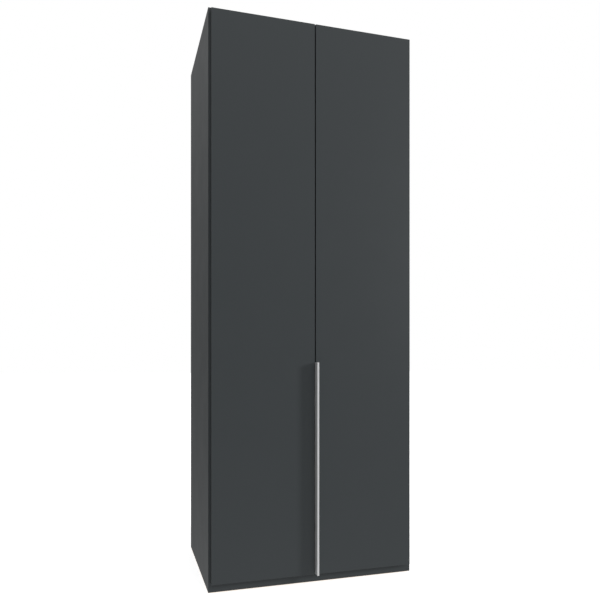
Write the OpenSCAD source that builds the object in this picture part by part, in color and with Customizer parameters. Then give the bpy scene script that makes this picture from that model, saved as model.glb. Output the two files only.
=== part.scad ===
// Two-door flat-pack wardrobe: board cabinet, hat shelf and clothes rail,
// two hinged doors and one long angle handle on the right door.
// X runs to the right, Y to the back, Z up; the doors face -Y.
// The origin is on the floor, under the middle of the whole piece.

/* [Cabinet] */
// Width over the two side panels
body_w = 900; // [800:10:1000]
// Height from the floor to the top edge
body_h = 2360; // [2200:10:2400]
// Depth from the front of the doors to the back edge
body_d = 580; // [540:5:620]
// Thickness of the sides, top, bottom and shelves
board_t = 16; // [16:1:19]
// Height of the plinth's top edge above the floor
plinth_top = 50; // [46:1:70]
// Thickness of the back sheets
back_t = 3; // [2.5:0.5:3.5]

/* [Interior] */
// Height of the hat shelf's top face
hat_shelf_z = 1990; // [1900:10:2040]
// Height of the adjustable shelf's top face
low_shelf_z = 340; // [276:32:404]
// Clear gap between the hat shelf and the clothes rail
rail_drop = 34; // [30:1:60]

/* [Doors] */
// Thickness of the door boards
door_t = 16; // [16:1:19]
// Air gap between the closed doors and the cabinet edges
door_gap = 3.5; // [3.5:0.25:5]
// How far a door lies over the front edge of its side panel
door_overlay = 6; // [3:0.5:6]
// Air gap between the two doors
centre_gap = 5; // [5:0.5:7]
// Height of the doors' lower edge
door_z0 = 40; // [36:1:46]
// How far the doors stop below the cabinet's top edge
door_top_drop = 10; // [8:1:12]
// Number of hinges on each door
hinge_count = 5; // [4:1:5]

/* [Handle] */
// How far the handle stands in front of the door
handle_proud = 26; // [20:1:30]
// Width of the handle's grip face
handle_grip = 8; // [8:0.5:16]
// Thickness of the handle's grip face
handle_t = 2; // [1.5:0.5:2.5]
// Thickness of the handle's web, in the gap between the doors
handle_web = 3; // [2:0.5:3]
// Length of the handle
handle_len = 887; // [600:1:1200]

/* [Hidden] */
$fn = 48;
e = 0.5;

// main planes
glide_h = 3;
x_out = body_w / 2;
x_in = x_out - board_t;
y_back = (body_d + handle_proud) / 2;
y_door = y_back - body_d;
y_dback = y_door + door_t;
y_front = y_dback + door_gap;
z_floor = plinth_top + board_t;
z_ceil = body_h - board_t;
door_z1 = body_h - door_top_drop;
// rear rebate that takes the back sheets
rebate_w = 8;
rebate_d = back_t + 1;
y_sheet = y_back - rebate_d;
// shelves
hat_y0 = y_front + 20;
hat_y1 = y_sheet - 2;
low_y0 = y_front + 24;
low_y1 = y_sheet - 4;
// knock-down fittings: cam and bolt, dowel
cam_r = 7.5;
cam_h = 12.5;
cam_in = 34;
dowel_r = 4;
fit_top = [y_front + 50, y_sheet - 60];
fit_hat = [hat_y0 + 50, hat_y1 - 60];
dowel_off = 32;
// bracket screws above the plinth dowels
bracket_scr = 8.5;
// clothes rail, an upright oval tube
rail_h = 30;
rail_b = 15;
rail_wall = 1;
rail_z = hat_shelf_z - board_t - rail_drop - rail_h / 2;
rail_y = (y_front + y_sheet) / 2;
// rows of 5 mm shelf holes, 32 mm apart
pin_n = 3;
pin_z = low_shelf_z - board_t - 3.5;
pin_y = [y_front + 37 + 32, y_sheet - 69];
// hinge: distances from the pin, u inward, v to the back
pin_edge = 8.5;
pin_deep = 9;
pin_x = x_in + door_overlay - pin_edge;
pin_y0 = y_dback - pin_deep;
side_u = door_overlay - pin_edge;
// arm channel: web plane and the angle at which the crank runs into it
web_u = side_u + 6.7;
crank_end = acos((web_u + 0.4) / 14.25);
hinge_z = [for (i = [0 : hinge_count - 1])
    door_z0 + 90 + i * (door_z1 - 100 - door_z0 - 90) / (hinge_count - 1)];
cup_u = 13;
cup_r = 17.4;
door_out = x_in + door_overlay;
// handle
handle_z0 = door_z0 + 3;
handle_x0 = centre_gap / 2 - handle_web;
handle_y0 = y_door - handle_proud;
handle_scr = [for (i = [0 : 5]) handle_z0 + 30 + i * (handle_len - 60) / 5];
// nails of the back sheets
nail_x = x_in + rebate_w / 2;
nail_zs = [for (i = [0 : 6]) 130 + i * (body_h - 260) / 6];
nail_xs = [for (s = [-1, 1], i = [0 : 1]) s * (120 + 210 * i)];
// floor glides
glide_y = [y_front + 36, 20, y_sheet - 36];

// turns a shape made along +Z to the named direction
module along(d) {
    if (d == "+x") rotate([0, 90, 0]) children();
    if (d == "-x") rotate([0, -90, 0]) children();
    if (d == "+y") rotate([-90, 0, 0]) children();
    if (d == "-y") rotate([90, 0, 0]) children();
    if (d == "+z") children();
    if (d == "-z") rotate([180, 0, 0]) children();
}

// cross recess cut into a screw head whose top is at z = top
module cross(w, top, deep) {
    for (a = [0, 90]) rotate([0, 0, a])
        translate([-w / 2, -w * 0.13, top - deep]) cube([w, w * 0.26, deep + e]);
}

// pan head screw: head above z = 0, shank with a point below
module pan_screw(r, len, hr, hh) {
    difference() {
        union() {
            cylinder(r = hr, h = hh);
            translate([0, 0, -(len - 2 * r)]) cylinder(r = r, h = len - 2 * r);
            translate([0, 0, -len]) cylinder(r1 = 0.3, r2 = r, h = 2 * r);
        }
        cross(hr * 1.25, hh, hh * 0.7);
    }
}

// countersunk screw: head flush with z = 0, shank with a point below
module flat_screw(r, len, hr, hh) {
    difference() {
        union() {
            translate([0, 0, -hh]) cylinder(r1 = r, r2 = hr, h = hh);
            translate([0, 0, -(len - 2 * r)]) cylinder(r = r, h = len - 2 * r - hh);
            translate([0, 0, -len]) cylinder(r1 = 0.3, r2 = r, h = 2 * r);
        }
        cross(hr * 1.2, 0, hh * 0.6);
    }
}

// hole for either screw, from z = 0 down
module pilot(r, len) { translate([0, 0, -len - 0.5]) cylinder(r = r, h = len + 0.5 + e); }
module sink(r, hr, hh) { translate([0, 0, -hh]) cylinder(r1 = r, r2 = hr, h = hh); }

// ---------- knock-down joints ----------

// holes in the face of a side panel for one board end; x = inner face, board below the top face z1
module side_joint_holes(z, ys) {
    for (y = ys) {
        translate([x_in, y, z]) along("+x") translate([0, 0, -e]) cylinder(r = 2.5, h = 11.5 + e);
        translate([x_in, y + (y < 0 ? 1 : -1) * dowel_off, z]) along("+x") translate([0, 0, -e]) cylinder(r = dowel_r, h = 10.5 + e);
    }
}

// holes in a board for both its ends; up = 1 puts the cams in the top face
module board_joint_holes(z0, ys, up) {
    zc = z0 + board_t / 2;
    for (s = [-1, 1], y = ys) {
        translate([s * (x_in - cam_in), y, up > 0 ? z0 + board_t - cam_h - 0.5 : z0 - e]) cylinder(r = cam_r, h = cam_h + 0.5 + e);
        translate([s * x_in, y, zc]) along(s > 0 ? "-x" : "+x") translate([0, 0, -e]) cylinder(r = 3.6, h = 28 + e);
        translate([s * x_in, y + (y < 0 ? 1 : -1) * dowel_off, zc]) along(s > 0 ? "-x" : "+x") translate([0, 0, -e]) cylinder(r = dowel_r, h = 20.5 + e);
    }
}

// one cam: head at z = 0, body below, mouth towards +X, bolt axis at the board's middle
module cam() {
    difference() {
        translate([0, 0, -cam_h]) cylinder(r = cam_r - 0.05, h = cam_h);
        translate([-3.6, -3.7, -board_t / 2 - 3.7]) cube([12, 7.4, 7.4]);
        cross(8, 0, 2.2);
        // pointer notch towards the board's end
        translate([5.2, -0.7, -1]) cube([4, 1.4, 2]);
    }
}

// one bolt: z = 0 on the side panel's face, thread below, head at the top
module cam_bolt() {
    translate([0, 0, -11]) cylinder(r = 2.42, h = 11);
    cylinder(r = 3.5, h = 2);
    translate([0, 0, 2]) cylinder(r = 2.6, h = 28);
    translate([0, 0, 30]) cylinder(r = 1.8, h = 2.5);
    translate([0, 0, 32.5]) cylinder(r = 3.2, h = 3.5);
}

module each_fitting() {
    // z of the board's underside, rows of fittings, cams up or down
    for (f = [[z_ceil, fit_top, 1], [plinth_top, fit_top, -1], [hat_shelf_z - board_t, fit_hat, -1]])
        for (s = [-1, 1], y = f[1]) {
            $at_z = f[0];
            $side = s;
            $at_y = y;
            $up = f[2];
            children();
        }
}

module cam_locks() {
    color("#a9a9a6") each_fitting()
        translate([$side * (x_in - cam_in), $at_y, $up > 0 ? $at_z + board_t : $at_z])
            rotate([0, 0, $side > 0 ? 0 : 180]) rotate([$up > 0 ? 0 : 180, 0, 0]) cam();
}

module cam_bolts() {
    color("#c9c9c4") each_fitting()
        translate([$side * x_in, $at_y, $at_z + board_t / 2]) along($side > 0 ? "-x" : "+x") cam_bolt();
}

module wood_dowels() {
    color("#d8b98a") {
        each_fitting()
            translate([$side * (x_in + 10), $at_y + ($at_y < 0 ? 1 : -1) * dowel_off, $at_z + board_t / 2])
                along($side > 0 ? "-x" : "+x") dowel();
        for (s = [-1, 1], y = [y_front + board_t / 2, y_sheet - board_t / 2])
            translate([s * (x_in + 10), y, 28]) along(s > 0 ? "-x" : "+x") dowel();
    }
}

// one beech dowel with chamfered ends, 30 mm long from z = 0
module dowel() {
    cylinder(r1 = dowel_r - 1, r2 = dowel_r, h = 1.5);
    translate([0, 0, 1.5]) cylinder(r = dowel_r, h = 27);
    translate([0, 0, 28.5]) cylinder(r1 = dowel_r, r2 = dowel_r - 1, h = 1.5);
}

// ---------- cabinet boards ----------

// right-hand side panel; the left one is its mirror image
module side_panel() {
    difference() {
        translate([x_in, y_front, glide_h]) cube([board_t, y_back - y_front, body_h - glide_h]);
        // rear rebate
        translate([x_in - e, y_sheet, glide_h - e]) cube([rebate_w + e, rebate_d + e, body_h]);
        side_joint_holes(z_ceil + board_t / 2, fit_top);
        side_joint_holes(plinth_top + board_t / 2, fit_top);
        side_joint_holes(hat_shelf_z - board_t / 2, fit_hat);
        // plinth dowels and bracket screws
        for (y = [y_front + board_t / 2, y_sheet - board_t / 2])
            translate([x_in, y, 28]) along("+x") translate([0, 0, -e]) cylinder(r = dowel_r, h = 10.5 + e);
        for (y = [y_front + board_t + 13, y_sheet - board_t - 13])
            translate([x_in - 2, y, 28 + bracket_scr]) along("-x") pilot(1.9, 13);
        // rows of shelf holes
        for (y = pin_y, i = [-pin_n : pin_n])
            translate([x_in, y, pin_z + 32 * i]) along("+x") translate([0, 0, -e]) cylinder(r = 2.5, h = 11 + e);
        // hinge plate screws
        for (z = hinge_z, s = [-1, 1])
            translate([x_in, pin_y0 + 48.5, z + 16 * s]) along("-x") pilot(2, 11);
        // rail socket screws
        for (s = [-1, 1])
            translate([x_in, rail_y, rail_z + 21 * s]) along("-x") pilot(1.75, 12);
        // nails
        for (z = nail_zs) translate([nail_x, y_sheet, z]) along("+y") pilot(0.7, 18);
        for (y = glide_y) translate([x_out - board_t / 2, y, glide_h]) along("-z") pilot(1, 15);
    }
}
module left_side_panel() { color("#45484a") mirror([1, 0, 0]) side_panel(); }
module right_side_panel() { color("#45484a") side_panel(); }

module top_panel() {
    color("#45484a") difference() {
        translate([-x_in, y_front, z_ceil]) cube([2 * x_in, y_back - y_front, board_t]);
        translate([-x_in - e, y_sheet, z_ceil - e]) cube([2 * x_in + 2 * e, rebate_d + e, rebate_w + e]);
        board_joint_holes(z_ceil, fit_top, 1);
        for (x = nail_xs) translate([x, y_sheet, z_ceil + rebate_w / 2]) along("+y") pilot(0.7, 18);
        for (s = [-1, 1], d = [10, 24])
            translate([s * 300, y_sheet - d, z_ceil]) along("-z") pilot(1.9, 12);
    }
}

module bottom_panel() {
    color("#45484a") difference() {
        translate([-x_in, y_front, plinth_top]) cube([2 * x_in, y_back - y_front, board_t]);
        translate([-x_in - e, y_sheet, z_floor - rebate_w]) cube([2 * x_in + 2 * e, rebate_d + e, rebate_w + e]);
        board_joint_holes(plinth_top, fit_top, -1);
        for (x = nail_xs) translate([x, y_sheet, z_floor - rebate_w / 2]) along("+y") pilot(0.7, 18);
    }
}

// plinth board with a dowel hole in each end and bracket screws in one face
module plinth(y0, inside) {
    difference() {
        translate([-x_in, y0, glide_h]) cube([2 * x_in, board_t, plinth_top - glide_h]);
        for (s = [-1, 1]) {
            translate([s * x_in, y0 + board_t / 2, 28]) along(s > 0 ? "-x" : "+x") translate([0, 0, -e]) cylinder(r = dowel_r, h = 20.5 + e);
            translate([s * (x_in - 13), inside > 0 ? y0 + board_t + 2 : y0 - 2, 28 + bracket_scr]) along(inside > 0 ? "+y" : "-y") pilot(1.9, 13);
        }
    }
}
module front_plinth() { color("#45484a") plinth(y_front, 1); }
module rear_plinth() { color("#45484a") plinth(y_sheet - board_t, -1); }

// plastic corner angle that ties a plinth to a side panel, at x, y = 0, legs along -X and +Y
module plinth_bracket() {
    difference() {
        union() {
            translate([-26, 0, -16]) cube([26, 2, 32]);
            translate([-2, 0, -16]) cube([2, 26, 32]);
            for (z = [-16, 14]) translate([0, 0, z]) linear_extrude(2) polygon([[-22, 1], [-1, 1], [-1, 22]]);
        }
        translate([-13, 2, bracket_scr]) along("+y") pilot(1.95, 4);
        translate([-2, 13, bracket_scr]) along("-x") pilot(1.95, 4);
    }
}
module at_plinth_corners() {
    for (s = [0, 1], b = [0, 1])
        mirror([s, 0, 0]) translate([x_in, b == 0 ? y_front + board_t : y_sheet - board_t, 28])
            mirror([0, b, 0]) children();
}
module plinth_brackets() { color("#2b2c2e") at_plinth_corners() plinth_bracket(); }
module plinth_bracket_screws() {
    color("#b9b9b4") at_plinth_corners() {
        translate([-13, 2, bracket_scr]) along("+y") pan_screw(1.9, 13, 3.4, 2);
        translate([-2, 13, bracket_scr]) along("-x") pan_screw(1.9, 13, 3.4, 2);
    }
}

// ---------- back ----------

module back_panel() {
    difference() {
        translate([0.75, y_sheet, z_floor - rebate_w + 0.5]) cube([x_in + rebate_w - 1.25, back_t, z_ceil - z_floor + 2 * rebate_w - 1]);
        for (z = nail_zs) translate([nail_x, y_sheet + back_t, z]) along("+y") pilot(0.7, back_t);
        for (x = nail_xs) if (x > 0) for (z = [z_ceil + rebate_w / 2, z_floor - rebate_w / 2])
            translate([x, y_sheet + back_t, z]) along("+y") pilot(0.7, back_t);
        // wall screw
        translate([300, y_sheet + back_t, z_ceil - 28]) along("+y") pilot(3, back_t);
    }
}
module back_panel_left() { color("#8d8a84") mirror([1, 0, 0]) back_panel(); }
module back_panel_right() { color("#8d8a84") back_panel(); }

// H-section strip that joins the two sheets
module back_joining_strip() {
    color("#f0efec") {
        z0 = z_floor - rebate_w + 0.5;
        h = z_ceil - z_floor + 2 * rebate_w - 1;
        translate([-0.75, y_sheet - 1, z_floor + 0.5]) cube([1.5, 1 + back_t + 1, z_ceil - z_floor - 1]);
        translate([-0.75, y_sheet, z0]) cube([1.5, back_t + 1, h]);
        translate([-7, y_sheet - 1, z_floor + 0.5]) cube([14, 1, z_ceil - z_floor - 1]);
        translate([-7, y_sheet + back_t, z0]) cube([14, 0.9, h]);
    }
}

module nail() {
    cylinder(r = 2, h = 0.6);
    translate([0, 0, -16.5]) cylinder(r = 0.7, h = 16.5);
    translate([0, 0, -18]) cylinder(r1 = 0.1, r2 = 0.7, h = 1.5);
}
module back_nails() {
    color("#c9c9c4") {
        for (s = [-1, 1], z = nail_zs) translate([s * nail_x, y_sheet + back_t, z]) along("+y") nail();
        for (x = nail_xs, z = [z_ceil + rebate_w / 2, z_floor - rebate_w / 2])
            translate([x, y_sheet + back_t, z]) along("+y") nail();
    }
}

// ---------- interior ----------

module hat_shelf() {
    color("#d9d6cf") difference() {
        translate([-x_in, hat_y0, hat_shelf_z - board_t]) cube([2 * x_in, hat_y1 - hat_y0, board_t]);
        board_joint_holes(hat_shelf_z - board_t, fit_hat, -1);
    }
}

module adjustable_shelf() {
    color("#d9d6cf")
        translate([-x_in + 1, low_y0, low_shelf_z - board_t]) cube([2 * x_in - 2, low_y1 - low_y0, board_t]);
}

// steel shelf support: a 5 mm pin and a flat-topped lug under the shelf
module shelf_pins() {
    color("#c9c9c4") for (s = [0, 1], y = pin_y) mirror([s, 0, 0]) translate([x_in, y, pin_z]) {
        along("+x") cylinder(r = 2.45, h = 9);
        along("-x") cylinder(r = 4, h = 1.2);
        translate([-9, -3.5, 1.5]) cube([8, 7, 2]);
        translate([-2.2, -3.5, -3]) cube([1.2, 7, 6]);
    }
}

// upright oval of the given height and width, as an outline in X (height) and Y (width)
module oval(h, b) {
    square([h - b, b], center = true);
    for (s = [-1, 1]) translate([s * (h - b) / 2, 0]) circle(d = b);
}

module clothes_rail() {
    len = 2 * x_in - 6;
    color("#d6d8da") translate([-len / 2, rail_y, rail_z]) along("+x")
        linear_extrude(len) difference() {
            oval(rail_h, rail_b);
            oval(rail_h - 2 * rail_wall, rail_b - 2 * rail_wall);
        }
}

// end socket: flange on the side panel and an oval collar around the rail
module rail_socket() {
    difference() {
        union() {
            linear_extrude(2.6) oval(56, 19);
            linear_extrude(14) oval(rail_h + 4, rail_b + 4);
        }
        translate([0, 0, 2.6]) linear_extrude(14) oval(rail_h + 0.2, rail_b + 0.2);
        for (s = [-1, 1]) translate([21 * s, 0, 2.6]) { pilot(1.75, 4); sink(1.75, 3.3, 1.8); }
    }
}
module rail_sockets() {
    color("#c9cacb") for (s = [-1, 1]) translate([s * x_in, rail_y, rail_z]) along(s > 0 ? "-x" : "+x") rail_socket();
}
module rail_socket_screws() {
    color("#c9c9c4") for (s = [-1, 1], k = [-1, 1])
        translate([s * (x_in - 2.6), rail_y, rail_z + 21 * k]) along(s > 0 ? "-x" : "+x") flat_screw(1.75, 14, 3.3, 1.8);
}

// ---------- feet and wall fixing ----------

module floor_glides() {
    color("#d8d6d0") for (s = [-1, 1], y = glide_y) translate([s * (x_out - board_t / 2), y, 0]) difference() {
        union() {
            cylinder(r1 = 6.7, r2 = 7.5, h = 0.8);
            translate([0, 0, 0.8]) cylinder(r = 7.5, h = glide_h - 0.8);
        }
        translate([0, 0, -e]) cylinder(r = 1.05, h = 5);
        translate([0, 0, -e]) cylinder(r = 2.9, h = 1.6 + e);
    }
}
module glide_nails() {
    color("#c9c9c4") for (s = [-1, 1], y = glide_y) translate([s * (x_out - board_t / 2), y, 0.8]) {
        cylinder(r = 2.6, h = 0.8);
        translate([0, 0, 0.8]) cylinder(r = 1, h = 14);
        translate([0, 0, 14.8]) cylinder(r1 = 1, r2 = 0.1, h = 2);
    }
}

// steel angle under the top panel against the back sheet
module wall_brackets() {
    color("#c9c9c4") for (s = [-1, 1]) translate([s * 300, y_sheet, z_ceil]) difference() {
        union() {
            translate([-15, -32, -2]) cube([30, 32, 2]);
            translate([-15, -2, -42]) cube([30, 2, 42]);
        }
        translate([0, 0, -28]) along("+y") pilot(3, 2);
        for (d = [10, 24]) translate([0, -d, -2]) along("-z") { pilot(1.95, 3); }
    }
}
module wall_bracket_screws() {
    color("#b9b9b4") for (s = [-1, 1], d = [10, 24])
        translate([s * 300, y_sheet - d, z_ceil - 2]) along("-z") pan_screw(1.9, 13, 3.4, 1.8);
}

// ---------- hinges, in the pin's own frame: x inward, y to the back ----------

// cranked arm with the eye that turns on the pin
module hinge_arm() {
    difference() {
        union() {
            translate([0, 0, -5]) cylinder(r = 2.4, h = 10);
            translate([0, -2.2, -5]) cube([13.7, 2, 10]);
            intersection() {
                difference() {
                    translate([0, 0, -5]) cylinder(r = 15.5, h = 10);
                    translate([0, 0, -6]) cylinder(r = 13, h = 12);
                }
                translate([0, 0, -5]) linear_extrude(10)
                    polygon([[0, 0], [40, -40 * tan(8.16)], [40, 40], [40 * cos(crank_end), 40 * sin(crank_end)]]);
            }
            // channel along the side panel
            translate([web_u, 13.2, -6.2]) cube([2, 54.2, 12.4]);
            for (z = [-6.2, 5]) translate([web_u - 3.6, 18, z]) cube([5.6, 48, 1.2]);
        }
        translate([0, 0, -6]) cylinder(r = 1.30, h = 12);
        // slot for the depth screw, hole for the side screw
        for (y = [58, 30]) translate([web_u + 2, y, 0]) along("+x") pilot(2.1, 3);
    }
}

// wing plate with the raised rail that the arm clips over
module hinge_plate() {
    difference() {
        union() {
            translate([side_u, 18, -7]) cube([1.5, 50, 14]);
            translate([side_u, 42, -16]) cube([1.5, 13, 32]);
            for (s = [-1, 1]) translate([side_u, 48.5, 16 * s]) along("+x") cylinder(r = 6.5, h = 1.5);
            translate([side_u + 1.5, 24, -4.8]) cube([web_u - side_u - 1.5, 40, 9.6]);
        }
        for (s = [-1, 1]) translate([side_u + 1.5, 48.5, 16 * s]) along("+x") pilot(2.05, 3);
        for (y = [58, 30]) translate([web_u, y, 0]) along("+x") pilot(2, 4);
    }
}

module plate_screws() {
    for (s = [-1, 1]) translate([side_u + 1.5, 48.5, 16 * s]) along("+x") pan_screw(2, 12, 3.5, 1.9);
}

module arm_screws() {
    for (y = [58, 30]) translate([web_u + 2, y, 0]) along("+x") pan_screw(2, 6, 3.4, 1.4);
}

// drawn cup with a flange on the door's back face and two blocks for the pin
module hinge_cup() {
    difference() {
        union() {
            translate([cup_u, -3.5, 0]) along("+y") cylinder(r = cup_r, h = pin_deep + 3.5);
            intersection() {
                union() {
                    translate([cup_u, pin_deep, 0]) along("+y") cylinder(r = 19.5, h = 1);
                    translate([cup_u, pin_deep, -24]) cube([11, 1, 48]);
                    for (s = [-1, 1]) translate([cup_u + 6, pin_deep, 24 * s]) along("+y") cylinder(r = 5.5, h = 1);
                }
                translate([cup_u - cup_r + 0.5, pin_deep - 2, -60]) cube([80, 6, 120]);
            }
        }
        difference() {
            translate([cup_u, -2.8, 0]) along("+y") cylinder(r = cup_r - 0.9, h = 20);
            for (s = [-1, 1]) translate([-6, -4, s > 0 ? 5.5 : -9.5]) cube([9, 6.8, 4]);
        }
        translate([0, 0, -9.1]) cylinder(r = 1.27, h = 18.2);
        for (s = [-1, 1]) translate([cup_u + 6, pin_deep + 1, 24 * s]) along("+y") pilot(1.8, 3);
    }
}
module hinge_pin() { translate([0, 0, -9]) cylinder(r = 1.25, h = 18); }
module cup_screws() {
    for (s = [-1, 1]) translate([cup_u + 6, pin_deep + 1, 24 * s]) along("+y") pan_screw(1.75, 11.5, 3.5, 1.5);
}

// places a hinge piece at every hinge; side 0 is the left door, 1 the right
module at_hinges(side) {
    for (z = hinge_z) mirror([side, 0, 0]) translate([-pin_x, pin_y0, z]) children();
}

module left_hinge_arms() { color("#c4c4c0") at_hinges(0) hinge_arm(); }
module left_hinge_plates() { color("#c4c4c0") at_hinges(0) hinge_plate(); }
module left_plate_screws() { color("#b9b9b4") at_hinges(0) plate_screws(); }
module left_arm_screws() { color("#b9b9b4") at_hinges(0) arm_screws(); }
module left_hinge_cups() { color("#c4c4c0") at_hinges(0) hinge_cup(); }
module left_hinge_pins() { color("#b9b9b4") at_hinges(0) hinge_pin(); }
module left_cup_screws() { color("#b9b9b4") at_hinges(0) cup_screws(); }
module right_hinge_arms() { color("#c4c4c0") at_hinges(1) hinge_arm(); }
module right_hinge_plates() { color("#c4c4c0") at_hinges(1) hinge_plate(); }
module right_plate_screws() { color("#b9b9b4") at_hinges(1) plate_screws(); }
module right_arm_screws() { color("#b9b9b4") at_hinges(1) arm_screws(); }
module right_hinge_cups() { color("#c4c4c0") at_hinges(1) hinge_cup(); }
module right_hinge_pins() { color("#b9b9b4") at_hinges(1) hinge_pin(); }
module right_cup_screws() { color("#b9b9b4") at_hinges(1) cup_screws(); }

// ---------- doors ----------

// door board bored for its hinges, as the left door
module door_panel() {
    difference() {
        translate([-door_out, y_door, door_z0]) cube([door_out - centre_gap / 2, door_t, door_z1 - door_z0]);
        for (z = hinge_z) translate([-pin_x, pin_y0, z]) {
            translate([cup_u, -3.8, 0]) along("+y") cylinder(r = cup_r + 0.1, h = 20);
            for (s = [-1, 1]) translate([cup_u + 6, pin_deep + 1, 24 * s]) along("+y") pilot(1.75, 11.5);
        }
    }
}
module left_door_panel() { color("#41464a") door_panel(); }
module right_door_panel() {
    color("#41464a") difference() {
        mirror([1, 0, 0]) door_panel();
        for (z = handle_scr) translate([centre_gap / 2, y_door + door_t / 2, z]) along("-x") pilot(1.75, 22);
    }
}

// soft dots that meet the top and bottom panels' front edges
module bumpers() {
    for (x = [-60, -330], z = [z_ceil + 3, plinth_top + 8])
        translate([x, y_dback, z]) along("+y") {
            cylinder(r = 2.9, h = door_gap - 1.4);
            translate([0, 0, door_gap - 1.4]) cylinder(r1 = 2.9, r2 = 1.7, h = 1);
        }
}
module left_door_bumpers() { color("#dcdedd") bumpers(); }
module right_door_bumpers() { color("#dcdedd") mirror([1, 0, 0]) bumpers(); }

// ---------- handle ----------

// aluminium angle: web on the right door's inner edge, grip face in front
module door_handle() {
    h = handle_len;
    color("#b5b7b8") difference() {
        translate([handle_x0, handle_y0, handle_z0]) union() {
            // web with a rounded outer corner
            translate([0, 1, 0]) cube([handle_web, handle_proud + door_t - 2, h]);
            translate([1, 0, 0]) cube([handle_grip - 1.5, handle_t, h]);
            translate([1, 1, 0]) cylinder(r = 1, h = h);
            translate([handle_grip - 0.5, 0.5, 0]) cylinder(r = 0.5, h = h);
            translate([handle_grip - 0.5, 0.5, 0]) cube([0.5, handle_t - 0.5, h]);
        }
        for (z = handle_scr) translate([handle_x0, y_door + door_t / 2, z]) along("-x") {
            pilot(1.8, 4);
            sink(1.8, 3.4, 1.6);
        }
    }
}
module handle_screws() {
    color("#b9b9b4") for (z = handle_scr)
        translate([handle_x0, y_door + door_t / 2, z]) along("-x") flat_screw(1.75, 22, 3.3, 1.6);
}

left_side_panel();
right_side_panel();
top_panel();
bottom_panel();
front_plinth();
rear_plinth();
plinth_brackets();
plinth_bracket_screws();
back_panel_left();
back_panel_right();
back_joining_strip();
back_nails();
hat_shelf();
adjustable_shelf();
shelf_pins();
clothes_rail();
rail_sockets();
rail_socket_screws();
cam_locks();
cam_bolts();
wood_dowels();
floor_glides();
glide_nails();
wall_brackets();
wall_bracket_screws();
left_hinge_arms();
left_hinge_plates();
left_plate_screws();
left_arm_screws();
right_hinge_arms();
right_hinge_plates();
right_plate_screws();
right_arm_screws();
left_door_panel();
left_hinge_cups();
left_hinge_pins();
left_cup_screws();
left_door_bumpers();
right_door_panel();
right_hinge_cups();
right_hinge_pins();
right_cup_screws();
right_door_bumpers();
door_handle();
handle_screws();
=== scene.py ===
import math
import bpy
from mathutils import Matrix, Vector


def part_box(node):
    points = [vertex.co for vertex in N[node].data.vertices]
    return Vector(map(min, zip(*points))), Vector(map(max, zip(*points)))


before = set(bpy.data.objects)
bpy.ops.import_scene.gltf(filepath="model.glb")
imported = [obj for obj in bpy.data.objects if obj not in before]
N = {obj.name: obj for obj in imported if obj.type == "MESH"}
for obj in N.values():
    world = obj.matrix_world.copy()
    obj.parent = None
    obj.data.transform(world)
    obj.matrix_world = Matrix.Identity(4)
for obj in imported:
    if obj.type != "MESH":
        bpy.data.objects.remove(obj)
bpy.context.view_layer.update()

scene = bpy.context.scene


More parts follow.
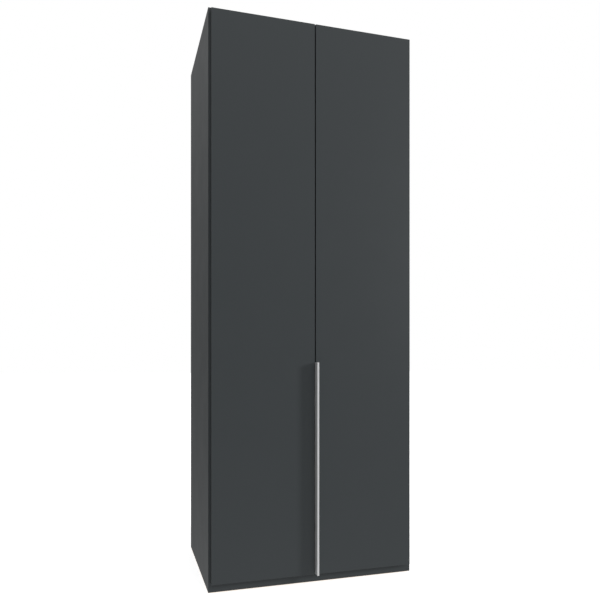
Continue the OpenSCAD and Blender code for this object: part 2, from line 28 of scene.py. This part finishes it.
# ---------------------------------------------------------------- shader helpers
class Shade:
    """A node material: expressions are sockets or numbers, v is the object's own position in metres."""

    def __init__(self, name):
        self.mat = bpy.data.materials.new(name)
        self.mat.use_nodes = True
        self.tree = self.mat.node_tree
        self.nodes, self.links = self.tree.nodes, self.tree.links
        self.nodes.clear()
        self.out = self.nodes.new("ShaderNodeOutputMaterial")
        self.bsdf = self.nodes.new("ShaderNodeBsdfPrincipled")
        self.links.new(self.bsdf.outputs["BSDF"], self.out.inputs["Surface"])
        self.pos = self.nodes.new("ShaderNodeTexCoord").outputs["Object"]
        xyz = self.nodes.new("ShaderNodeSeparateXYZ")
        self.links.new(self.pos, xyz.inputs[0])
        self.x, self.y, self.z = xyz.outputs

    def put(self, socket, value):
        if isinstance(value, bpy.types.NodeSocket):
            self.links.new(value, socket)
        else:
            socket.default_value = value

    def math(self, op, a, b=0.0, c=0.0, clamp=False):
        n = self.nodes.new("ShaderNodeMath")
        n.operation, n.use_clamp = op, clamp
        for s, v in zip(n.inputs, (a, b, c)):
            self.put(s, v)
        return n.outputs[0]

    def add(self, a, b): return self.math("ADD", a, b)
    def sub(self, a, b): return self.math("SUBTRACT", a, b)
    def mul(self, a, b): return self.math("MULTIPLY", a, b)
    def less(self, a, b): return self.math("LESS_THAN", a, b)
    def more(self, a, b): return self.math("GREATER_THAN", a, b)
    def absv(self, a): return self.math("ABSOLUTE", a)
    def both(self, *m):
        r = m[0]
        for k in m[1:]:
            r = self.mul(r, k)
        return r

    def between(self, a, lo, hi): return self.both(self.more(a, lo), self.less(a, hi))

    def vec(self, x, y, z):
        n = self.nodes.new("ShaderNodeCombineXYZ")
        for s, v in zip(n.inputs, (x, y, z)):
            self.put(s, v)
        return n.outputs[0]

    def scaled(self, sx, sy, sz):
        n = self.nodes.new("ShaderNodeMapping")
        self.links.new(self.pos, n.inputs["Vector"])
        n.inputs["Scale"].default_value = (sx, sy, sz)
        return n.outputs[0]

    def noise(self, scale, detail=2.0, rough=0.5, at=None, dist=0.0):
        n = self.nodes.new("ShaderNodeTexNoise")
        self.put(n.inputs["Vector"], at if at is not None else self.pos)
        n.inputs["Scale"].default_value = scale
        n.inputs["Detail"].default_value = detail
        n.inputs["Roughness"].default_value = rough
        n.inputs["Distortion"].default_value = dist
        return n.outputs["Fac"]

    def voronoi(self, scale, feature="F1", at=None, out="Distance"):
        n = self.nodes.new("ShaderNodeTexVoronoi")
        n.feature = feature
        self.put(n.inputs["Vector"], at if at is not None else self.pos)
        n.inputs["Scale"].default_value = scale
        return n.outputs[out]

    def ramp(self, fac, *stops):
        n = self.nodes.new("ShaderNodeValToRGB")
        self.put(n.inputs["Fac"], fac)
        el = n.color_ramp.elements
        while len(el) < len(stops):
            el.new(0.5)
        for e, (p, c) in zip(el, stops):
            e.position = p
            e.color = (*c, 1.0) if len(c) == 3 else c
        return n.outputs["Color"]

    def mix(self, fac, a, b):
        """Mix of two colours."""
        n = self.nodes.new("ShaderNodeMix")
        n.data_type = "RGBA"
        n.clamp_factor = True
        self.put(n.inputs[0], fac)
        for s, v in ((n.inputs[6], a), (n.inputs[7], b)):
            self.put(s, (*v, 1.0) if isinstance(v, tuple) and len(v) == 3 else v)
        return n.outputs[2]

    def mixf(self, fac, a, b):
        """Mix of two numbers."""
        n = self.nodes.new("ShaderNodeMix")
        n.data_type = "FLOAT"
        n.clamp_factor = True
        self.put(n.inputs[0], fac)
        self.put(n.inputs[2], a)
        self.put(n.inputs[3], b)
        return n.outputs[0]

    def span(self, fac, lo, hi):
        """fac 0..1 carried to lo..hi."""
        return self.math("MULTIPLY_ADD", fac, hi - lo, lo)

    def tint(self, colour, fac, amount):
        """colour lightened and darkened by amount as fac runs from 0 to 1."""
        lo = tuple(max(0.0, c * (1 - amount)) for c in colour)
        hi = tuple(min(1.0, c * (1 + amount)) for c in colour)
        return self.mix(fac, lo, hi)

    def bump(self, height, distance, strength=1.0):
        n = self.nodes.new("ShaderNodeBump")
        n.inputs["Strength"].default_value = strength
        n.inputs["Distance"].default_value = distance
        self.links.new(height, n.inputs["Height"])
        self.links.new(n.outputs["Normal"], self.bsdf.inputs["Normal"])

    def set(self, **kw):
        for k, v in kw.items():
            self.put(self.bsdf.inputs[k.replace("_", " ")], v)
        return self


def srgb(*c):
    return tuple(v / 255 / 12.92 if v <= 10.31475 else ((v / 255 + 0.055) / 1.055) ** 2.4 for v in c)


# ---------------------------------------------------------------- main planes, from the frame
side_lo, side_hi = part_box("right_side_panel")
top_lo, top_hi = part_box("top_panel")
bot_lo, bot_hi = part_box("bottom_panel")
door_lo, door_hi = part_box("left_door_panel")
hat_lo, hat_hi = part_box("hat_shelf")
low_lo, low_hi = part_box("adjustable_shelf")
x_out, x_in = side_hi.x, side_lo.x
y_front, y_back = side_lo.y, side_hi.y

GRAPHITE = srgb(57.0, 61.5, 63.6)
INNER = srgb(205, 202, 195)
E = 0.00035


# ---------------------------------------------------------------- board facings
def graphite(s, plane):
    """Satin graphite melamine: a fine pearl emboss and faint cloudiness. Returns colour, roughness, height."""
    fine = s.noise(1500, 3, 0.6)
    cloud = s.noise(7, 3, 0.55)
    flecks = s.noise(420, 2, 0.5)
    colour = s.tint(GRAPHITE, s.add(s.mul(fine, 0.55), s.mul(flecks, 0.45)), 0.10)
    rough = s.add(s.span(cloud, 0.40, 0.50), s.mul(s.sub(fine, 0.5), 0.10))
    return colour, rough, s.add(s.mul(fine, 0.8), s.mul(flecks, 0.4))


def linen(s, u, v):
    """Light grey printed linen: threads along u and v."""
    a = s.noise(1.0, 2, 0.6, at=s.vec(s.mul(u, 26), s.mul(v, 1100), 0.0))
    b = s.noise(1.0, 2, 0.6, at=s.vec(s.mul(u, 1100), s.mul(v, 26), 3.0))
    weave = s.mul(s.add(a, b), 0.5)
    slubs = s.noise(1.0, 2, 0.5, at=s.vec(s.mul(u, 9), s.mul(v, 420), 7.0))
    c1 = s.tint(INNER, s.math("MULTIPLY_ADD", s.sub(weave, 0.5), 2.6, 0.5, clamp=True), 0.13)
    colour = s.mix(s.mul(s.math("MULTIPLY_ADD", s.sub(slubs, 0.62), 6.0, 0.0, clamp=True), 0.35), c1, srgb(176, 171, 162))
    return colour, s.span(weave, 0.42, 0.56), weave


def core(s):
    """Raw chipboard."""
    chips = s.voronoi(520, out="Color")
    fine = s.noise(900, 4, 0.6)
    sep = s.nodes.new("ShaderNodeSeparateColor")
    s.links.new(chips, sep.inputs[0])
    shade = s.add(s.mul(sep.outputs[0], 0.6), s.mul(fine, 0.4))
    colour = s.ramp(shade, (0.15, srgb(104, 78, 51)), (0.45, srgb(163, 129, 90)), (0.8, srgb(199, 168, 124)))
    return colour, 0.88, shade


def board(name, inner_mask, core_mask, uv, edge=None, depth=None):
    """Material of one board: graphite facing, light facing where inner_mask is 1, raw core where core_mask is 1."""
    s = Shade(name)
    g, gr, gh = graphite(s, uv)
    u, v = (getattr(s, a) for a in uv)
    colour, rough, height = g, gr, s.mul(gh, 0.000022)
    im, cm = inner_mask(s) if inner_mask else None, core_mask(s) if core_mask else None
    if edge is not None:
        # edge band: its glue line 1 mm in from the edge is a hair darker, and its rounded rim is rubbed a little paler
        d = edge(s)
        line = s.less(s.absv(s.sub(d, 0.00115)), 0.00012)
        rub = s.both(s.less(d, 0.0006), s.less(depth(s), 0.0006),
                     s.math("MULTIPLY_ADD", s.noise(55, 4, 0.6), 2.2, -0.75, clamp=True))
        colour = s.mix(s.mul(line, 0.5), colour, srgb(26, 28, 29))
        colour = s.mix(s.mul(rub, 0.22), colour, srgb(118, 122, 124))
        rough = s.sub(rough, s.mul(rub, 0.06))
        height = s.sub(height, s.mul(line, 0.00002))
    if im is not None:
        lc, lr, lh = linen(s, u, v)
        colour, rough = s.mix(im, colour, lc), s.mixf(im, rough, lr)
        height = s.mixf(im, height, s.mul(lh, 0.00005))
    if cm is not None:
        cc, cr, ch = core(s)
        colour, rough = s.mix(cm, colour, cc), s.mixf(cm, rough, cr)
        height = s.mixf(cm, height, s.mul(ch, 0.0003))
    s.set(Base_Color=colour, Roughness=rough)
    s.bsdf.inputs["Specular IOR Level"].default_value = 0.3
    s.bump(height, 1.0)
    return s.mat


def door_edge(s):
    """Distance in metres from the nearest edge of the door board's face."""
    ax = s.absv(s.x)
    da = s.math("MINIMUM", s.sub(ax, abs(door_hi.x)), s.sub(abs(door_lo.x), ax))
    db = s.math("MINIMUM", s.sub(s.z, door_lo.z), s.sub(door_hi.z, s.z))
    return s.math("MINIMUM", da, db)


def side_edge(s):
    """Distance from the front or top edge of a side panel's face."""
    return s.math("MINIMUM", s.sub(s.y, y_front), s.sub(side_hi.z, s.z))


def front_edge(s):
    """Distance from the front edge of a level board."""
    return s.sub(s.y, y_front)


def under_face(axis, lo, hi):
    """Distance below the nearer of a board's two faces, lo and hi along the axis, the same on both sides of the middle."""
    def depth(s):
        a = s.absv(getattr(s, axis))
        return s.math("MINIMUM", s.sub(a, lo), s.sub(hi, a))
    return depth


def side_inner(s):
    return s.both(s.less(s.absv(s.x), x_in + E), s.more(s.y, y_front + 0.0012))


def side_core(s):
    ax = s.absv(s.x)
    return s.both(s.between(ax, x_in + E, x_out - 0.0008), s.more(s.y, y_front + 0.0012), s.less(s.z, side_hi.z - 0.0012))


def flat_core(lo, hi):
    return lambda s: s.both(s.between(s.z, lo.z + E, hi.z - E), s.more(s.y, lo.y + 0.0012))


def give(node, mat):
    data = N[node].data
    data.materials.clear()
    data.materials.append(mat)


def soften(node, width=0.0006, segments=2, angle=40):
    """Rounds the node's sharp edges slightly with modifiers only."""
    o = N[node]
    w = o.modifiers.new("weld", "WELD")
    w.merge_threshold = 0.000004
    d = o.modifiers.new("flat", "DECIMATE")
    d.decimate_type = "DISSOLVE"
    d.angle_limit = math.radians(0.5)
    d.delimit = {"NORMAL"}
    b = o.modifiers.new("edge", "BEVEL")
    b.width, b.segments = width, segments
    b.limit_method, b.angle_limit = "ANGLE", math.radians(angle)
    b.use_clamp_overlap = False
    b.loop_slide = False
    b.harden_normals = False
    b.miter_outer = "MITER_ARC"
    n = o.modifiers.new("normals", "WEIGHTED_NORMAL")
    n.keep_sharp = False
    n.weight = 80


side_mat = board("graphite_side", side_inner, side_core, ("y", "z"), side_edge, under_face("x", x_in, x_out))
top_mat = board("graphite_top", lambda s: s.both(s.less(s.z, top_lo.z + E), s.more(s.y, y_front + 0.0012)), flat_core(top_lo, top_hi), ("x", "y"), front_edge, under_face("z", top_lo.z, top_hi.z))
bottom_mat = board("graphite_bottom", lambda s: s.both(s.more(s.z, bot_hi.z - E), s.more(s.y, y_front + 0.0012)), flat_core(bot_lo, bot_hi), ("x", "y"), front_edge, under_face("z", bot_lo.z, bot_hi.z))
plinth_mat = board("graphite_plinth", None, lambda s: s.less(s.z, 0.0032), ("x", "z"))
door_mat = board(
    "graphite_door",
    lambda s: s.more(s.y, door_hi.y - E),
    lambda s: s.both(s.between(s.y, door_lo.y + 0.0012, door_hi.y - E), s.between(s.absv(s.x), abs(door_hi.x) + 0.003, abs(door_lo.x) - 0.002), s.between(s.z, door_lo.z + 0.003, door_hi.z - 0.003)),
    ("x", "z"), door_edge, under_face("y", abs(door_hi.y), abs(door_lo.y)))
shelf_mat = board("linen_shelf", lambda s: s.more(s.z, -1.0), lambda s: s.both(s.between(s.z, hat_lo.z + E, hat_hi.z - E), s.more(s.y, hat_lo.y + 0.0012)), ("x", "y"))
low_mat = board("linen_low_shelf", lambda s: s.more(s.z, -1.0), lambda s: s.both(s.between(s.z, low_lo.z + E, low_hi.z - E), s.more(s.y, low_hi.y - 0.002)), ("x", "y"))

for n in ("left_side_panel", "right_side_panel"):
    give(n, side_mat)
give("top_panel", top_mat)
give("bottom_panel", bottom_mat)
for n in ("front_plinth", "rear_plinth"):
    give(n, plinth_mat)
for n in ("left_door_panel", "right_door_panel"):
    give(n, door_mat)
give("hat_shelf", shelf_mat)
give("adjustable_shelf", low_mat)
for n in ("left_side_panel", "right_side_panel", "top_panel", "bottom_panel", "front_plinth", "rear_plinth",
          "left_door_panel", "right_door_panel", "hat_shelf", "adjustable_shelf"):
    soften(n)


# ---------------------------------------------------------------- metals, plastics, hardboard
def metal(name, colour, rough, grain, stretch=(1, 1, 1), variation=0.06, bump=0.000006, metallic=1.0, spots=0.0):
    s = Shade(name)
    fine = s.noise(grain, 3, 0.6, at=s.scaled(*stretch))
    broad = s.noise(60, 3, 0.55)
    col = s.tint(colour, s.add(s.mul(fine, 0.6), s.mul(broad, 0.4)), variation)
    if spots:
        sp = s.voronoi(900, out="Color")
        sep = s.nodes.new("ShaderNodeSeparateColor")
        s.links.new(sp, sep.inputs[0])
        col = s.mix(s.mul(sep.outputs[0], spots), col, tuple(c * 0.72 for c in colour))
    r = s.add(s.span(fine, rough * 0.8, rough * 1.2), s.mul(s.sub(broad, 0.5), rough * 0.4))
    s.set(Base_Color=col, Roughness=r)
    s.bsdf.inputs["Metallic"].default_value = metallic
    s.bump(fine, bump)
    return s.mat


alu = metal("satin_aluminium", (0.76, 0.765, 0.77), 0.50, 1.0, stretch=(5200, 5200, 14), variation=0.05, bump=0.000012, metallic=0.7)
nickel = metal("nickel_plate", (0.70, 0.68, 0.64), 0.22, 420, variation=0.05, bump=0.000004)
zinc = metal("zinc_plate", (0.66, 0.67, 0.68), 0.33, 700, variation=0.08, bump=0.000006, spots=0.35)
chrome = metal("chromed_tube", (0.80, 0.81, 0.82), 0.09, 1.0, stretch=(30, 2600, 2600), variation=0.03, bump=0.000001)


def plastic(name, colour, rough, variation=0.04, scale=700):
    s = Shade(name)
    fine = s.noise(scale, 3, 0.6)
    broad = s.noise(35, 2, 0.5)
    s.set(Base_Color=s.tint(colour, s.add(s.mul(fine, 0.5), s.mul(broad, 0.5)), variation),
          Roughness=s.add(s.span(fine, rough - 0.05, rough + 0.05), s.mul(s.sub(broad, 0.5), 0.06)))
    s.bump(fine, 0.00001)
    return s.mat


white_plastic = plastic("white_plastic", srgb(222, 221, 216), 0.45)
black_plastic = plastic("black_plastic", srgb(34, 35, 37), 0.42, 0.10)
silicone = plastic("clear_silicone", srgb(206, 212, 212), 0.24, 0.03)
silicone.node_tree.nodes["Principled BSDF"].inputs["Transmission Weight"].default_value = 0.45
silicone.node_tree.nodes["Principled BSDF"].inputs["IOR"].default_value = 1.41


def beech():
    s = Shade("beech_dowel")
    grain = s.noise(1.0, 4, 0.6, at=s.scaled(60, 1500, 1500), dist=0.4)
    s.set(Base_Color=s.ramp(grain, (0.25, srgb(176, 134, 88)), (0.75, srgb(219, 184, 136))), Roughness=s.span(grain, 0.55, 0.75))
    s.bump(grain, 0.00004)
    return s.mat


def hardboard():
    """Light printed face towards the inside, brown pressed face with a screen pattern behind."""
    s = Shade("hardboard_back")
    lc, lr, lh = linen(s, s.x, s.z)
    back = s.more(s.y, y_back - 0.0022)
    fib = s.noise(1.0, 4, 0.65, at=s.scaled(900, 900, 260), dist=0.6)
    broad = s.noise(9, 3, 0.6)
    screen = s.mul(s.math("SINE", s.mul(s.x, 2600)), s.math("SINE", s.mul(s.z, 2600)))
    brown = s.ramp(s.add(s.mul(fib, 0.6), s.mul(broad, 0.4)), (0.28, srgb(102, 72, 46)), (0.5, srgb(132, 97, 63)), (0.75, srgb(156, 121, 83)))
    colour = s.mix(back, lc, brown)
    s.set(Base_Color=colour, Roughness=s.mixf(back, lr, s.span(fib, 0.68, 0.86)))
    s.bump(s.mixf(back, s.mul(lh, 0.00005), s.add(s.mul(screen, 0.00006), s.mul(fib, 0.0001))), 1.0)
    return s.mat


hard = hardboard()
wood = beech()

for node, mat in {
    "plinth_brackets": black_plastic, "plinth_bracket_screws": zinc,
    "back_panel_left": hard, "back_panel_right": hard, "back_joining_strip": white_plastic, "back_nails": zinc,
    "shelf_pins": zinc, "clothes_rail": chrome, "rail_sockets": chrome, "rail_socket_screws": zinc,
    "cam_locks": zinc, "cam_bolts": zinc, "wood_dowels": wood,
    "floor_glides": white_plastic, "glide_nails": zinc, "wall_brackets": zinc, "wall_bracket_screws": zinc,
    "left_hinge_arms": nickel, "left_hinge_plates": nickel, "left_plate_screws": zinc, "left_arm_screws": zinc,
    "right_hinge_arms": nickel, "right_hinge_plates": nickel, "right_plate_screws": zinc, "right_arm_screws": zinc,
    "left_hinge_cups": nickel, "left_hinge_pins": zinc, "left_cup_screws": zinc, "left_door_bumpers": silicone,
    "right_hinge_cups": nickel, "right_hinge_pins": zinc, "right_cup_screws": zinc, "right_door_bumpers": silicone,
    "door_handle": alu, "handle_screws": zinc,
}.items():
    give(node, mat)


# ---------------------------------------------------------------- floor, light, camera
def make_floor():
    me = bpy.data.meshes.new("floor")
    r = 30.0
    me.from_pydata([(-r, -r, 0), (r, -r, 0), (r, r, 0), (-r, r, 0)], [], [(0, 1, 2, 3)])
    o = bpy.data.objects.new("floor", me)
    scene.collection.objects.link(o)
    s = Shade("pale_floor")
    s.set(Base_Color=s.tint((0.90, 0.90, 0.90), s.noise(3, 3, 0.5), 0.01), Roughness=s.span(s.noise(8, 2, 0.5), 0.75, 0.85))
    s.bsdf.inputs["Specular IOR Level"].default_value = 0.2
    s.bsdf.inputs["Emission Color"].default_value = (1, 1, 1, 1)
    s.bsdf.inputs["Emission Strength"].default_value = 0.6
    me.materials.append(s.mat)
    o.visible_diffuse = o.visible_glossy = o.visible_shadow = False
    return o


make_floor()


def area(name, at, look, size, power, colour=(1, 1, 1)):
    d = bpy.data.lights.new(name, "AREA")
    d.shape, d.size, d.size_y = "RECTANGLE", size[0], size[1]
    d.energy, d.color = power, colour
    o = bpy.data.objects.new(name, d)
    scene.collection.objects.link(o)
    o.location = at
    o.rotation_euler = (Vector(look) - Vector(at)).to_track_quat("-Z", "Y").to_euler()
    return o


# light: one soft key from the right, 70 degrees off the doors' normal and 13 degrees up, and a studio
# dome that is dim at eye level and brighter towards the ceiling and the floor, most of all in front
KEY_POWER = 896.0
DOME = dict(level=0.2326, sky=0.9257, low=1.376, front_sky=0.572, front_low=0.528)

area("key", (10.9, -4.35, 3.9), (0.0, -0.28, 1.2), (1.65, 2.4), KEY_POWER)

world = bpy.data.worlds.new("studio")
scene.world = world
world.use_nodes = True
wt = world.node_tree
wt.nodes.clear()


def wmath(op, a, b=0.0):
    n = wt.nodes.new("ShaderNodeMath")
    n.operation = op
    for s_, v_ in zip(n.inputs, (a, b)):
        if isinstance(v_, bpy.types.NodeSocket):
            wt.links.new(v_, s_)
        else:
            s_.default_value = v_
    return n.outputs[0]


way = wt.nodes.new("ShaderNodeSeparateXYZ")
wt.links.new(wt.nodes.new("ShaderNodeTexCoord").outputs["Generated"], way.inputs[0])
dx, dy, dz = way.outputs
up, down = wmath("MAXIMUM", dz, 0.0), wmath("MAXIMUM", wmath("MULTIPLY", dz, -1.0), 0.0)
ahead = wmath("MAXIMUM", wmath("MULTIPLY", dy, -1.0), 0.0)
glow = DOME["level"]
for term, weight in ((wmath("MULTIPLY", up, up), DOME["sky"]), (wmath("MULTIPLY", down, down), DOME["low"]),
                     (wmath("MULTIPLY", ahead, up), DOME["front_sky"]), (wmath("MULTIPLY", ahead, down), DOME["front_low"])):
    glow = wmath("ADD", glow, wmath("MULTIPLY", term, weight))
dome = wt.nodes.new("ShaderNodeBackground")
dome.inputs["Color"].default_value = (1, 1, 1, 1)
wt.links.new(glow, dome.inputs["Strength"])
plain = wt.nodes.new("ShaderNodeBackground")
plain.inputs["Color"].default_value = (1, 1, 1, 1)
pick = wt.nodes.new("ShaderNodeMixShader")
wt.links.new(wt.nodes.new("ShaderNodeLightPath").outputs["Is Camera Ray"], pick.inputs[0])
wt.links.new(dome.outputs[0], pick.inputs[1])
wt.links.new(plain.outputs[0], pick.inputs[2])
wout = wt.nodes.new("ShaderNodeOutputWorld")
wt.links.new(pick.outputs[0], wout.inputs[0])

cam_data = bpy.data.cameras.new("camera")
cam = bpy.data.objects.new("camera", cam_data)
scene.collection.objects.link(cam)
cam.location = (-0.7936, -2.4689, 0.9535)
cam.rotation_euler = (math.radians(90), 0, math.radians(-14.957))
cam_data.sensor_width = 36
cam_data.lens = 553.20 / 600 * 36
cam_data.shift_x = (300 - 267.52) / 600
cam_data.shift_y = (356.74 - 300) / 600
cam_data.clip_start, cam_data.clip_end = 0.05, 100
scene.camera = cam

scene.view_settings.view_transform = "Standard"
scene.view_settings.look = "None"
